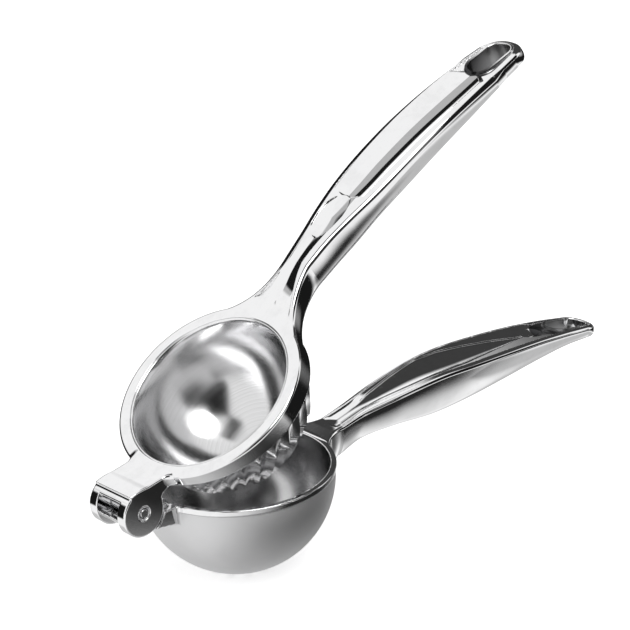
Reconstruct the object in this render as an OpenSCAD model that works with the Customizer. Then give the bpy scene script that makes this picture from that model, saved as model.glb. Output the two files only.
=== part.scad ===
// Hinged lemon squeezer: a bowl arm, a press arm with a fluted press cup, and one hinge pin.
// The origin is the middle of the flat under the bowl. +X points to the handle tips, +Z is up.

/* [Opening] */
// Angle between the press ring's top face and the bowl's rim
open_angle = 35; // [8:0.5:110]
// The same angle with the handles squeezed together
closed_angle = 6; // [5.6:0.2:8]

/* [Bowl] */
// Outer radius of the bowl's sphere
bowl_r = 34; // [32:0.5:36]
// Thickness of the bowl's wall
bowl_wall = 1.8; // [1.4:0.1:2.2]
// Height of the straight band under the rim
rim_band = 3.2; // [2:0.2:5]
// How far the rim bead stands out from the bowl
rim_bead = 0.4; // [0.2:0.1:0.8]
// Height of the rim bead
bead_h = 2.2; // [1.4:0.2:3]
// Width of the flat under the bowl
foot_d = 14; // [8:1:18]
// Diameter of one drain hole
drain_d = 3.2; // [2:0.2:4]
// Radius of the inner ring of drain holes
drain_ring = 5.5; // [5:0.5:6]

/* [Hinge] */
// Distance from the bowl's outer wall to the hinge pin
hinge_out = 13.2; // [12.6:0.1:15]
// Height of the hinge pin above the rim
hinge_h = 2.6; // [1.5:0.1:3.5]
// Width of the hinge over both ears
hinge_w = 18.4; // [16:0.2:21]
// Thickness of each ear
ear_t = 3.9; // [3:0.1:5]
// Radius of each ear round the pin
ear_r = 8.4; // [7.8:0.1:9]
// Radius of the knuckle between the ears
knuckle_r = 6.6; // [5:0.1:7]
// Side gap between knuckle and ear
ear_gap = 0.15; // [0.1:0.05:0.3]
// Gap between the round hinge surfaces
swing_gap = 0.4; // [0.3:0.05:0.6]
// Radius of the hinge pin
pin_r = 2.5; // [2:0.1:3]
// Running clearance of the pin in the knuckle
pin_play = 0.05; // [0.02:0.01:0.1]
// Depth of the ring stamped into each pin end
stamp_depth = 0.3; // [0.1:0.1:0.6]
// Depth of the hinge lug below the rim
lug_depth = 6.6; // [5:0.2:8]

/* [Press ring] */
// How far the ring stands out past the bowl's rim bead
ring_over = 0; // [-0.6:0.1:0.6]
// Height of the ring's top face over the rim, arms parallel
ring_top = 4.4; // [3.6:0.2:6]
// Tilt of the ring's underside, deeper toward the handle
seat_tilt = 3.3; // [2.5:0.1:4.5]
// Height of the ring's underside over the rim at that tilt
seat_gap = 0.3; // [0.2:0.05:0.6]
// Width of the cup's shoulder that sits under the ring
shoulder = 1.7; // [1.3:0.1:2.1]
// Slope of the tongue that rises from the ring to the ears
tongue_slope = 26; // [20:1:30]

/* [Press cup] */
// Clearance of the cup's crowns in the bowl
press_gap = 0.6; // [0.4:0.1:1.2]
// Room for peel under the cup when closed
peel_room = 7.3; // [6:0.1:10]
// Thickness of the cup's lip inside the ring's bore
lip_wall = 0.7; // [0.5:0.1:1.4]
// Thickness of the cup's wall at the ridges of the flutes
cup_wall = 3.2; // [2.8:0.1:4.6]
// How far the cup's lip sits under the ring's top face
lip_drop = 0.2; // [0.1:0.05:0.5]
// Number of flutes
flutes = 30; // [24:2:32]
// Depth of the flutes
flute_depth = 1.5; // [0.8:0.1:1.8]
// Drop of the step under the crowns
crown_step = 0.7; // [0.3:0.1:1]
// Latitude of the crowns' lower edge
crown_edge = 21; // [20:1:28]
// Lean of the flutes' axis to the ring's axis
flute_lean = 20; // [16:1:21]

/* [Handles] */
// Reach of the press arm from the bowl's axis to its tip
press_reach = 168.6; // [150:0.5:190]
// Reach of the bowl arm from the bowl's axis to its tip
bowl_reach = 173.4; // [150:0.5:195]
// Half width of the press arm's neck
press_neck_w = 6.1; // [5:0.1:7]
// Half width of the bowl arm's neck
bowl_neck_w = 5.9; // [5:0.1:7]
// Fillet radius between ring and press arm
press_fillet = 30; // [24:1:34]
// Fillet radius between bowl and bowl arm
bowl_fillet = 15; // [12:1:20]
// Depth of the bowl arm's root under the rim
bowl_root = 14; // [12:0.5:16]
// Depth of the press arm's root under the rim's plane, arms parallel
press_root = 3.6; // [3:0.1:4.2]
// Radius of a handle's upper edges
edge_r = 1.1; // [0.6:0.1:1.6]
// Width of the raised rim round the hollow
rim_w = 2; // [1.2:0.1:2.5]
// How much higher the rim is on its inner side
rim_rise = 0.9; // [0:0.1:1.2]
// Depth of the channel along the press arm's neck
neck_hollow = 1.8; // [1:0.1:2.4]
// Depth of the thumb dimple on the press arm
thumb_hollow = 3; // [2:0.1:3.4]
// Depth of the grip's shallow V on the press arm
vee_hollow = 1.3; // [0.8:0.1:2]
// Depth of the long dish on the bowl arm
dish_hollow = 2.4; // [1:0.1:2.6]
// Width of a hanging slot
slot_w = 9.2; // [7:0.1:9.6]
// Length of a hanging slot
slot_len = 17.5; // [14:0.1:19]
// Metal left between the press arm's slot and its tip
press_land = 2.5; // [2.2:0.1:4]
// Metal left between the bowl arm's slot and its tip
bowl_land = 3.5; // [2.6:0.1:5]

/* [Hidden] */

casting = [0.80, 0.81, 0.83];
cup_metal = [0.68, 0.69, 0.71];
pin_metal = [0.55, 0.56, 0.58];

round_fn = 96;
deep = 80; // reach of the cutting blocks
inner_r = bowl_r - bowl_wall;
foot_cut = bowl_r - sqrt(bowl_r * bowl_r - foot_d * foot_d / 4);
rim_z = bowl_r + rim_band - foot_cut;
sphere_z = rim_z - rim_band;
rim_r = bowl_r + rim_bead;
ring_r = rim_r + ring_over;
hinge_x = bowl_r + hinge_out;
knuckle_w = hinge_w - 2 * (ear_t + ear_gap);
pin_z = rim_z + hinge_h;

// Press sphere, centred over the bowl's axis with the handles squeezed together
press_r = inner_r - press_gap;
ring_bore_r = press_r - shoulder;
mouth_r = ring_bore_r - lip_wall;
cup_inner_r = press_r - cup_wall;
press_rise = press_r - (rim_band + inner_r - peel_room);
lift = closed_angle - seat_tilt;
lean = flute_lean - seat_tilt;
dome_x = hinge_x * cos(lift) + (press_rise - hinge_h) * sin(lift) - hinge_x;
dome_z = hinge_h - hinge_x * sin(lift) + (press_rise - hinge_h) * cos(lift);

// Handle rows: [share of the length from neck to tip, half width, top, depth, squareness].
// Heights are over the rim with the arms parallel.
press_rows = [
    [0.00, press_neck_w, 7.6, 12.8, 3.2],
    [0.09, 7.0, 7.8, 13.6, 3.0],
    [0.18, 8.6, 7.6, 14.1, 2.6],
    [0.28, 10.2, 6.7, 13.3, 2.4],
    [0.40, 11.1, 5.2, 13.2, 2.3],
    [0.55, 11.2, 2.6, 12.7, 2.3],
    [0.70, 10.8, -1.2, 11.4, 2.3],
    [0.84, 9.9, -5.5, 9.2, 2.4],
    [0.93, 8.8, -8.6, 8.3, 2.5],
    [1.00, 8.4, -11.0, 7.4, 2.6]
];
bowl_rows = [
    [0.00, bowl_neck_w, 0.1, 12.4, 2.6],
    [0.08, 6.2, 1.8, 11.4, 2.4],
    [0.20, 8.4, 3.7, 13.7, 2.2],
    [0.34, 10.3, 5.2, 17.0, 2.2],
    [0.46, 11.5, 4.9, 16.3, 2.2],
    [0.60, 11.1, 3.6, 13.7, 2.2],
    [0.74, 9.9, 1.8, 10.4, 2.2],
    [0.86, 8.5, -0.5, 7.2, 2.3],
    [0.94, 7.4, -2.4, 5.8, 2.4],
    [1.00, 7.0, -3.8, 5.0, 2.6]
];

// ---- curves ----

function mix(a, b, t) = a + (b - a) * t;
function ease(t) = let(u = min(1, max(0, t))) u * u * (3 - 2 * u);
function window(x, lo, hi, fade) = ease((x - lo) / fade) * ease((hi - x) / fade);

// Smooth curve through the rows, with each row's slope taken from its neighbours
function slope(rows, i, k) = let(
    a = max(0, i - 1), b = min(len(rows) - 1, i + 1)
) (rows[b][k] - rows[a][k]) / (rows[b][0] - rows[a][0]);
function row_of(rows, t, i = 0) = i >= len(rows) - 2 || t <= rows[i + 1][0] ? i : row_of(rows, t, i + 1);
function along(rows, t, k) = let(
    i = row_of(rows, t),
    span = rows[i + 1][0] - rows[i][0],
    u = (t - rows[i][0]) / span,
    p = rows[i][k],
    q = rows[i + 1][k],
    m = slope(rows, i, k) * span,
    n = slope(rows, i + 1, k) * span
) (2 * u * u * u - 3 * u * u + 1) * p + (u * u * u - 2 * u * u + u) * m
    + (3 * u * u - 2 * u * u * u) * q + (u * u * u - u * u) * n;

// Place of the neck: there the fillet circle touches the ring and the handle's side
function neck_x(disc_r, fillet, neck_w) = sqrt(pow(disc_r + fillet, 2) - pow(neck_w + fillet, 2));

// ---- handle loft ----

root_steps = 8;
root_sink = 3; // the lofts start this far inside the ring's and the bowl's own metal
root_inset = 0.25; // keeps a loft's sides from touching the round wall at a grazing angle
root_power = 14; // squareness of a loft where it leaves the round wall
rim_start = 36; // where a rim starts to rise on its inner side
rim_fade = 24; // length over which it does
grip_steps = 34;
tip_steps = 6;
side_steps = 6;

// Half of a section from the middle of the hollow, over the rim, round to the keel
function half_section(w, top, depth, power, hollow, rise, vee) = let(
    edge = min(edge_r, 0.3 * w),
    inner = w - edge - min(rim_w, 0.3 * w),
    crest = top + rise
) concat(
    [[0, crest - hollow]],
    [[0.42 * inner, crest - mix(0.9, 0.58, vee) * hollow], [0.78 * inner, crest - mix(0.48, 0.22, vee) * hollow]],
    [[inner, crest], [w - edge, top], [w - 0.29 * edge, top - 0.29 * edge]],
    [for (i = [0:side_steps]) let(a = 90 * i / side_steps) [
        w * pow(max(0, cos(a)), 2 / power),
        top - edge - (depth - edge) * pow(sin(a), 2 / power)
    ]]
);
function whole_section(x, half) = concat(
    [for (p = half) [x, p[0], p[1]]],
    [for (i = [len(half) - 2:-1:1]) [x, -half[i][0], half[i][1]]]
);

// Faces between m rings of n points
function skin(n, m) = [for (j = [0:m - 2]) for (i = [0:n - 1]) let(a = j * n + i, b = j * n + (i + 1) % n)
    each [[a, b, b + n], [a, b + n, a + n]]];

// Each hollow gives [start, end, depth, fade]
function hollow_at(x, hollows) = max([for (h = hollows) h[2] * window(x, h[0], h[1], h[3])]);

// Each station gives [x, half width, top, depth, squareness, share of the rim's rise]
function root_station(s, rows, disc_r, fillet, top0, keel0) = let(
    x1 = neck_x(disc_r, fillet, rows[0][1]),
    x = mix(x1 * disc_r / (disc_r + fillet), x1, s),
    w = rows[0][1] + fillet - sqrt(fillet * fillet - (x1 - x) * (x1 - x)) - root_inset * (1 - s) * (1 - s),
    top = mix(top0 - root_inset / 2, rows[0][2], s * s * (2 - s)),
    keel = mix(keel0, rows[0][2] - rows[0][3], ease((s - 0.35) / 0.65))
) [x, w, top, top - keel, mix(root_power, rows[0][4], ease(s)), ease((x - rim_start) / rim_fade)];
function grip_station(t, rows, disc_r, fillet, reach) = let(
    x1 = neck_x(disc_r, fillet, rows[0][1]),
    x = mix(x1, reach, t),
    end_r = along(rows, 0.95, 1),
    past = max(0, (x - (reach - end_r)) / end_r),
    round = sqrt(max(0.0016, 1 - past * past)),
    depth = along(rows, t, 3)
) [x, along(rows, t, 1) * round, along(rows, t, 2) - 0.25 * depth * (1 - round),
    depth * mix(0.5, 1, round), along(rows, t, 4), round * ease((x - rim_start) / rim_fade)];

module handle(rows, disc_r, fillet, top0, keel0, reach, hollows, vee_x) {
    end_r = along(rows, 0.95, 1);
    x1 = neck_x(disc_r, fillet, rows[0][1]);
    tip_t = 1 - end_r / (reach - x1);
    touch = root_station(0, rows, disc_r, fillet, top0, keel0);
    stations = concat(
        [[touch[0] - root_sink, touch[1] - 1, touch[2], touch[3], touch[4], 0]],
        [for (i = [0:root_steps - 1]) root_station(i / root_steps, rows, disc_r, fillet, top0, keel0)],
        [for (i = [0:grip_steps - 1])
            grip_station(tip_t * i / grip_steps, rows, disc_r, fillet, reach)],
        [for (i = [0:tip_steps])
            grip_station(mix(tip_t, 1, sin(90 * i / tip_steps)), rows, disc_r, fillet, reach)]
    );
    loops = [for (s = stations) whole_section(s[0], half_section(s[1], s[2], s[3], s[4],
        hollow_at(s[0], hollows), rim_rise * s[5], ease((s[0] - vee_x) / 4)))];
    n = len(loops[0]);
    m = len(loops);
    polyhedron(
        points = [for (loop = loops) for (p = loop) p],
        faces = concat(
            [[for (i = [0:n - 1]) (n + n / 2 - i) % n]],
            skin(n, m),
            [[for (i = [0:n - 1]) (m - 1) * n + (n / 2 + i) % n]]
        )
    );
}

// Slot for hanging, leaning with the tip, with its far end a land short of it
module hanging_slot(reach, land, tilt, z) {
    far = reach - land - slot_w / 2;
    near = far - slot_len + slot_w;
    translate([(far + near) / 2, 0, z]) rotate([0, tilt, 0]) translate([-(far + near) / 2, 0, -deep / 4])
        linear_extrude(height = deep / 2) {
            translate([far, 0]) circle(r = slot_w / 2, $fn = round_fn);
            translate([near, 0]) circle(r = slot_w / 2, $fn = round_fn);
            translate([near, -slot_w / 2]) square([far - near, slot_w]);
        }
}

// ---- frames ----

// Turns the children about the hinge pin, from arms parallel to the given angle
module on_hinge(angle) {
    translate([-hinge_x, 0, pin_z]) rotate([0, -angle, 0]) translate([hinge_x, 0, -pin_z]) children();
}
module across(width) {
    rotate([90, 0, 0]) linear_extrude(height = width, center = true) children();
}
module pin_bore(r, width) {
    translate([-hinge_x, 0, pin_z]) rotate([90, 0, 0]) cylinder(r = r, h = width, center = true, $fn = round_fn);
}

// ---- bowl arm ----

module bowl_solid() {
    rotate_extrude($fn = round_fn) difference() {
        union() {
            intersection() {
                translate([0, sphere_z]) circle(r = bowl_r, $fn = round_fn);
                square([deep, rim_z]);
            }
            translate([0, rim_z - bead_h]) square([rim_r, bead_h]);
        }
        translate([-deep, -deep]) square([deep, 3 * deep]);
        translate([-deep, -deep]) square([2 * deep, deep]);
    }
}
module bowl_cavity() {
    translate([0, 0, sphere_z]) sphere(r = inner_r, $fn = round_fn);
    translate([0, 0, sphere_z]) cylinder(r = inner_r, h = deep, $fn = round_fn);
}
module drain_holes() {
    for (ring = [1:2]) for (i = [1:6 * ring]) rotate([0, 0, 60 / ring * i])
        translate([ring * drain_ring, 0, -1]) cylinder(d = drain_d, h = rim_z / 2, $fn = 32);
}
module lug() {
    lug_x = rim_r * cos(asin(hinge_w / 2 / rim_r));
    difference() {
        across(hinge_w) polygon([
            [-lug_x + 3, rim_z], [-hinge_x + ear_r - 1, rim_z], [-hinge_x + ear_r / 2, rim_z - lug_depth * 0.78],
            [-lug_x, rim_z - lug_depth], [-lug_x + 3, rim_z - lug_depth]
        ]);
        pin_bore(ear_r + swing_gap, 2 * hinge_w);
    }
    across(knuckle_w) polygon([
        [-lug_x + 3, rim_z], [-hinge_x, rim_z], [-hinge_x, pin_z - knuckle_r + 0.2],
        [-lug_x, rim_z - lug_depth], [-lug_x + 3, rim_z - lug_depth]
    ]);
    pin_bore(knuckle_r, knuckle_w);
}
module bowl_arm() {
    color(casting) difference() {
        union() {
            bowl_solid();
            lug();
            translate([0, 0, rim_z]) handle(bowl_rows, rim_r, bowl_fillet, 0, -bowl_root, bowl_reach,
                [[42, 70, 1.5, 8], [62, 138, dish_hollow, 12], [138, 149, 1.5, 4]], 999);
        }
        bowl_cavity();
        drain_holes();
        pin_bore(pin_r + pin_play, 2 * hinge_w);
        hanging_slot(bowl_reach, bowl_land, 10, rim_z - 1.2);
    }
}

// ---- press arm, built with the arms parallel ----

module below_seat() {
    on_hinge(-seat_tilt) translate([-deep, -deep, rim_z + seat_gap - deep]) cube([5 * deep, 2 * deep, deep]);
}
module ear_outline() {
    tangent = [-hinge_x + ear_r * sin(tongue_slope), pin_z + ear_r * cos(tongue_slope)];
    ramp = (tangent[1] - rim_z - ring_top) / tan(tongue_slope);
    translate([-hinge_x, pin_z]) circle(r = ear_r, $fn = round_fn);
    polygon([
        [-hinge_x, pin_z], tangent, [tangent[0] + ramp, rim_z + ring_top],
        [-ring_r + 4, rim_z + ring_top], [-ring_r + 4, rim_z + 0.6], [-ring_r - 0.4, rim_z + 0.6],
        [-ring_r - 1.8, rim_z + 1.6], [-hinge_x + ear_r + 0.1, rim_z + 0.5],
        [-hinge_x + 0.82 * ear_r, pin_z - 0.56 * ear_r]
    ]);
}
module tongue() {
    difference() {
        across(hinge_w) ear_outline();
        pin_bore(knuckle_r + swing_gap, knuckle_w + 2 * ear_gap);
        translate([-hinge_x - deep - 0.3 * ear_r, -knuckle_w / 2 - ear_gap, rim_z - deep])
            cube([deep, knuckle_w + 2 * ear_gap, 2 * deep]);
        translate([-hinge_x - deep + ear_r + 0.5, -knuckle_w / 2 - ear_gap, rim_z - deep])
            cube([deep, knuckle_w + 2 * ear_gap, deep + 1]);
    }
}
module press_arm() {
    color(casting) on_hinge(open_angle) difference() {
        union() {
            difference() {
                translate([0, 0, rim_z - deep / 2]) cylinder(r = ring_r, h = deep / 2 + ring_top, $fn = round_fn);
                below_seat();
            }
            tongue();
            translate([0, 0, rim_z]) handle(press_rows, ring_r, press_fillet, ring_top, -press_root, press_reach,
                [[40, 66, neck_hollow, 8], [60, 83, thumb_hollow, 7], [82, 147, vee_hollow, 3]], 80);
        }
        translate([0, 0, rim_z - deep]) cylinder(r = ring_bore_r, h = 2 * deep, $fn = round_fn);
        pin_bore(pin_r, 2 * hinge_w);
        hanging_slot(press_reach, press_land, 20, rim_z - 6.6);
    }
}

// ---- press cup ----

flute_rows = 16;
flute_cols = 5 * flutes;

// Radius of the fluted surface, by turn round the flutes' axis and latitude below its equator
function flute_radius(turn, lat, lat0) = let(
    wave = (1 - cos(flutes * turn)) / 2,
    edge = crown_edge - 3 * wave,
    grow = min(1, max(0, (lat - lat0) / max(8, edge - lat0))),
    under = ease((lat - edge) / 3),
    near_pole = ease((80 - lat) / 25)
) press_r - grow * flute_depth * wave * near_pole - crown_step * under;

// Latitude at which the seat plane cuts the sphere
function seat_lat(turn, below) = let(
    a = cos(turn) * sin(lean),
    b = cos(lean)
) asin(below / press_r / sqrt(a * a + b * b)) - atan2(a, b);

module fluted_dome() {
    below = dome_z - seat_gap;
    loops = [for (j = [0:flute_rows - 1]) [for (i = [0:flute_cols - 1]) let(
        turn = 360 * i / flute_cols,
        lat0 = seat_lat(turn, below),
        lat = mix(lat0, 89, pow(j / (flute_rows - 1), 1.15)),
        r = flute_radius(turn, lat, lat0)
    ) [r * cos(lat) * cos(turn), r * cos(lat) * sin(turn), -r * sin(lat)]]];
    n = flute_cols;
    m = flute_rows;
    seat_mid = below * [sin(lean), 0, -cos(lean)];
    on_hinge(-seat_tilt) translate([dome_x, 0, rim_z + dome_z]) rotate([0, lean, 0]) polyhedron(
        points = concat([for (loop = loops) for (p = loop) p], [seat_mid, [0, 0, loops[m - 1][0][2]]]),
        faces = concat(
            [for (i = [0:n - 1]) [m * n, (i + 1) % n, i]],
            skin(n, m),
            [for (i = [0:n - 1]) [m * n + 1, (m - 1) * n + i, (m - 1) * n + (i + 1) % n]]
        )
    );
}
module cup_neck() {
    difference() {
        translate([0, 0, rim_z - deep / 2])
            cylinder(r = ring_bore_r, h = deep / 2 + ring_top - lip_drop, $fn = round_fn);
        translate([0, 0, -0.3]) below_seat();
    }
}
module cup_hollow() {
    on_hinge(-seat_tilt) translate([dome_x, 0, rim_z + dome_z]) sphere(r = cup_inner_r, $fn = round_fn);
    translate([0, 0, rim_z]) rotate_extrude($fn = round_fn)
        polygon([[0, -1.4], [cup_inner_r - 0.4, -1.4], [mouth_r, ring_top], [mouth_r, deep], [0, deep]]);
}
module press_cup() {
    color(cup_metal) on_hinge(open_angle) difference() {
        union() {
            fluted_dome();
            cup_neck();
        }
        cup_hollow();
    }
}

// ---- hinge pin ----

module hinge_pin() {
    color(pin_metal) on_hinge(open_angle) difference() {
        pin_bore(pin_r, hinge_w);
        for (side = [-1, 1]) translate([-hinge_x, side * hinge_w / 2, pin_z]) rotate([90, 0, 0]) difference() {
            cylinder(r = 0.8 * pin_r, h = 2 * stamp_depth, center = true, $fn = round_fn);
            cylinder(r = 0.55 * pin_r, h = 4 * stamp_depth, center = true, $fn = round_fn);
        }
    }
}

bowl_arm();
press_arm();
press_cup();
hinge_pin();
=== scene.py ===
import math
import time

import bmesh
import bpy
import numpy as np
from mathutils import Matrix, Vector


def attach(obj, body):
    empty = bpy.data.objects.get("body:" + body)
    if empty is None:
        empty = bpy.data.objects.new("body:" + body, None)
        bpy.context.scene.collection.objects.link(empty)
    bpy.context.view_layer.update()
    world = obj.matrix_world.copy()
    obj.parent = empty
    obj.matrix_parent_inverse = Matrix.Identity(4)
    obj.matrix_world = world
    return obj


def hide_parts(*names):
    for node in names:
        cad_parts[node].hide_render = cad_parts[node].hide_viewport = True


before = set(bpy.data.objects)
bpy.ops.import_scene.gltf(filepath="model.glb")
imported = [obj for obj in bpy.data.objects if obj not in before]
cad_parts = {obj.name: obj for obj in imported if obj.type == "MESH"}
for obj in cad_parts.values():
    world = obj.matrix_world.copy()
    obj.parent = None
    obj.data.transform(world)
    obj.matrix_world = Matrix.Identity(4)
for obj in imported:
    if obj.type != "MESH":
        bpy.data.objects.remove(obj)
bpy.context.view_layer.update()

startTime = time.time()


def stageLine(text):
    print(f"{time.time() - startTime:6.1f} s  {text}")


# the squeezer's own measures, in mm, heights from the bowl's rim
squeezer = {
    "rimHeight": 36.4716,
    "openAngle": 35.0,
    "pinX": -47.2, "pinZ": 2.6, "pinR": 2.5,
    "hingeWidth": 18.4, "earThick": 3.9, "earR": 8.4, "knuckleR": 6.6,
    "earGap": 0.15, "swingGap": 0.4,
}
knuckleWidth = squeezer["hingeWidth"] - 2 * (squeezer["earThick"] + squeezer["earGap"])
farAway = 9.0    # a distance that no blend reaches


def joinSoft(a, b, r):
    # union with a concave fillet
    return np.maximum(r, np.minimum(a, b)) - np.hypot(np.maximum(r - a, 0), np.maximum(r - b, 0))


def meetSoft(a, b, r):
    # intersection with a rounded edge
    return -joinSoft(-a, -b, r)


def easeStep(x, low, high):
    u = np.clip((x - low) / (high - low), 0, 1)
    return u * u * (3 - 2 * u)


def blendTo(a, b, t):
    return a + (b - a) * t


def smoothRow(rows, column):
    # a row's values along the handle as one smooth curve, ready for np.interp
    rows = np.array(rows, float)
    s, v = rows[:, 0], rows[:, column]
    low = np.maximum(np.arange(len(s)) - 1, 0)
    high = np.minimum(np.arange(len(s)) + 1, len(s) - 1)
    slope = (v[high] - v[low]) / (s[high] - s[low])
    t = np.linspace(0, 1, 400)
    i = np.clip(np.searchsorted(s, t, side="right") - 1, 0, len(s) - 2)
    span = s[i + 1] - s[i]
    u = (t - s[i]) / span
    value = ((2 * u**3 - 3 * u**2 + 1) * v[i] + (u**3 - 2 * u**2 + u) * slope[i] * span
             + (3 * u**2 - 2 * u**3) * v[i + 1] + (u**3 - u**2) * slope[i + 1] * span)
    return t, value


def makeGrip(grip):
    # fills in what follows from a grip's own values
    neckW = grip["rows"][0][1]
    grip["neckX"] = math.sqrt((grip["discR"] + grip["fillet"]) ** 2 - (neckW + grip["fillet"]) ** 2)
    grip["touchX"] = grip["neckX"] * grip["discR"] / (grip["discR"] + grip["fillet"])
    grip["curves"] = [smoothRow(grip["rows"], k) for k in range(1, 5)]
    grip["endR"] = float(np.interp(0.95, *grip["curves"][0]))
    return grip


# how every grip closes at its end: shares of its depth, and the squareness it takes on
gripEnd = {"topDrop": 0.25, "depthLeft": 0.5, "square": 4.5, "squareOver": (0.1, 0.9), "least": 0.0016}


def gripStation(grip, x):
    # half width, top, depth and squareness of the handle at x
    t = (x - grip["neckX"]) / (grip["reach"] - grip["neckX"])
    width, top, depth, power = (np.interp(t, *c) for c in grip["curves"])
    back = np.clip(grip["neckX"] - x, 0, grip["neckX"] - grip["touchX"])
    flare = grip["fillet"] - np.sqrt(grip["fillet"] ** 2 - back ** 2)
    s = np.clip((x - grip["touchX"]) / (grip["neckX"] - grip["touchX"]), 0, 1)
    root = x < grip["neckX"]
    rootTop = blendTo(grip["rootTop"], grip["rows"][0][2], s * s * (2 - s))
    keel = blendTo(grip["rootKeel"], grip["rows"][0][2] - grip["rows"][0][3], easeStep(s, grip["keelFrom"], 1))
    top = np.where(root, rootTop, top)
    depth = np.where(root, rootTop - keel, depth)
    power = np.where(root, blendTo(grip["rootSquare"], grip["rows"][0][4], easeStep(s, 0, 1)), power)
    return width + flare, top, depth, power, back


def gripField(grip, x, y, z):
    # a superellipse that closes at the handle's end, cut by the crest of its own kind
    width, top, depth, power, back = gripStation(grip, x)
    past = np.maximum(0, x - (grip["reach"] - grip["endR"])) / grip["endR"]
    outline = np.hypot(past * width, y) - width
    lean = np.sqrt(1 + (back / np.sqrt(grip["fillet"] ** 2 - back ** 2)) ** 2)
    outline = outline / lean
    roundness = np.sqrt(np.maximum(gripEnd["least"], 1 - np.minimum(past, 1) ** 2))
    top = top - gripEnd["topDrop"] * depth * (1 - roundness)
    depth = depth * blendTo(gripEnd["depthLeft"], 1, roundness)
    power = blendTo(power, gripEnd["square"], easeStep(past, *gripEnd["squareOver"]))
    edge = np.interp(x, *zip(*grip["edges"]))
    share = np.maximum(0, outline + width) / width
    drop = np.maximum(0, top - edge - z) / (depth - edge)
    sides = ((share ** power + drop ** power) ** (1 / power) - 1) * width
    crest = grip["crestOf"](x, -outline, y, width, top)
    field = meetSoft(sides, (z - crest) * 0.9, edge)
    return np.where(x > grip["touchX"] - 2, field, farAway)


pressGrip = makeGrip({
    "discR": 34.4, "fillet": 30, "rootTop": 4.4, "rootKeel": -3.6, "rootSquare": 10, "keelFrom": 0.35,
    "reach": 168.6,
    "edges": [(90, 1.3), (116, 1.4), (130, 1.6), (142, 1.9), (149, 2.1), (154, 0.9)],
    "rows": [
        (0.00, 6.1, 7.6, 12.8, 3.2), (0.09, 7.0, 7.8, 13.6, 3.0), (0.18, 8.6, 7.6, 14.1, 2.6),
        (0.28, 10.2, 6.7, 13.3, 2.4), (0.40, 11.1, 5.2, 13.2, 2.3), (0.55, 11.2, 2.6, 12.7, 2.3),
        (0.70, 10.8, -1.2, 11.4, 2.3), (0.84, 9.9, -5.5, 9.2, 2.4), (0.93, 8.8, -8.6, 8.3, 2.5),
        (1.00, 8.4, -11.0, 7.4, 2.6),
    ],
})
press = {
    "ringR": 34.4, "ringTop": 4.4, "ringEdge": 1.0, "boreR": 29.9, "boreEdge": 0.35,
    "seatTilt": 3.3, "seatGap": 0.3, "seatEdge": 0.35,
    "tongueSlope": 26, "tongueFillet": 2.5, "tongueEdge": 0.5,
    "wedgeLow": 1.0, "wedgeEnd": 30.5, "wedgeFillet": 1.0,
    "swingBack": 0.3, "swingFront": 0.5, "swingTop": 1, "swingEdge": 0.3, "pinEdge": 0.25,
    # the grip's two rims, from the ring to the tip
    "rimSlope": 0.3, "rimWide": 3.0, "rimNeck": 1.6, "rimLoss": 0.35,
    "rimRise": (36, 60), "rimGrow": (38, 58), "rimNarrow": (96, 146),
    "grooveStart": 34, "grooveSoft": 6, "cutNeck": 0.35, "cutGrip": 0.05,
    "neckWide": 4.8, "neckLeast": 0.6, "neckDeep": 0.95, "neckPower": 1.1, "neckRise": (38, 50),
    # the grip's ridges and flanks
    "ridge": 3.8, "ridgeHigh": 0.4, "ridgeStep": 0.5, "fall": 0.30, "flank": 0.155,
    "veeStart": 82.5, "veeEnd": 147.5, "veeBow": 0.03, "veeSoft": 0.6, "veeStep": 0.3, "veeLevel": (88, 100),
    "dimpleX": 73.4, "dimpleLong": 9.3, "dimpleWide": 5.2, "dimpleRim": 0.5, "dimpleDeep": 1.1,
    "dimplePower": 1.25, "dimpleEdge": (0.97, 1.06),
    "slotFar": 161.5, "slotNear": 153.2, "slotR": 4.6, "slotTilt": 20, "slotZ": -6.6, "slotEdge": 0.5,
    "slotLip": 1.0, "lipHigh": 0.15, "moatDeep": 0.9, "moatStep": 0.6, "tipBow": 0.05, "tipSoft": 1.6,
}


def slotDistance(v, x, y, z):
    # distance from the wall of the hanging slot, which leans with the handle's tip
    middle = (v["slotFar"] + v["slotNear"]) / 2
    half = (v["slotFar"] - v["slotNear"]) / 2
    tilt = math.radians(v["slotTilt"])
    along = (x - middle) * math.cos(tilt) - (z - v["slotZ"]) * math.sin(tilt)
    return np.hypot(np.maximum(np.abs(along) - half, 0), y) - v["slotR"]


def slotMoat(v, x, y, top, crest):
    # round the slot: a raised lip with a moat between it and the outer rim
    past = easeStep(slotDistance(v, x, y, top), v["slotLip"], v["slotLip"] + v["moatStep"])
    return crest + v["lipHigh"] - (v["moatDeep"] + v["lipHigh"]) * past


def dimpleReach(v, x, y):
    # 0 in the middle of the dimple, 1 on its edge
    return np.hypot((x - v["dimpleX"]) / v["dimpleLong"], y / v["dimpleWide"])


def ridgeFall(v):
    # how far the ridge has come down at each distance from its top
    steps = 60
    t = np.linspace(0, 1, steps)
    slope = np.interp(t, (0, 0.2, 0.85, 1), (0, v["fall"], v["fall"], v["flank"]))
    fallen = np.cumsum(slope[1:] + slope[:-1]) / 2 * v["ridge"] / (steps - 1)
    return t * v["ridge"], np.concatenate([[0], fallen])


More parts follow.
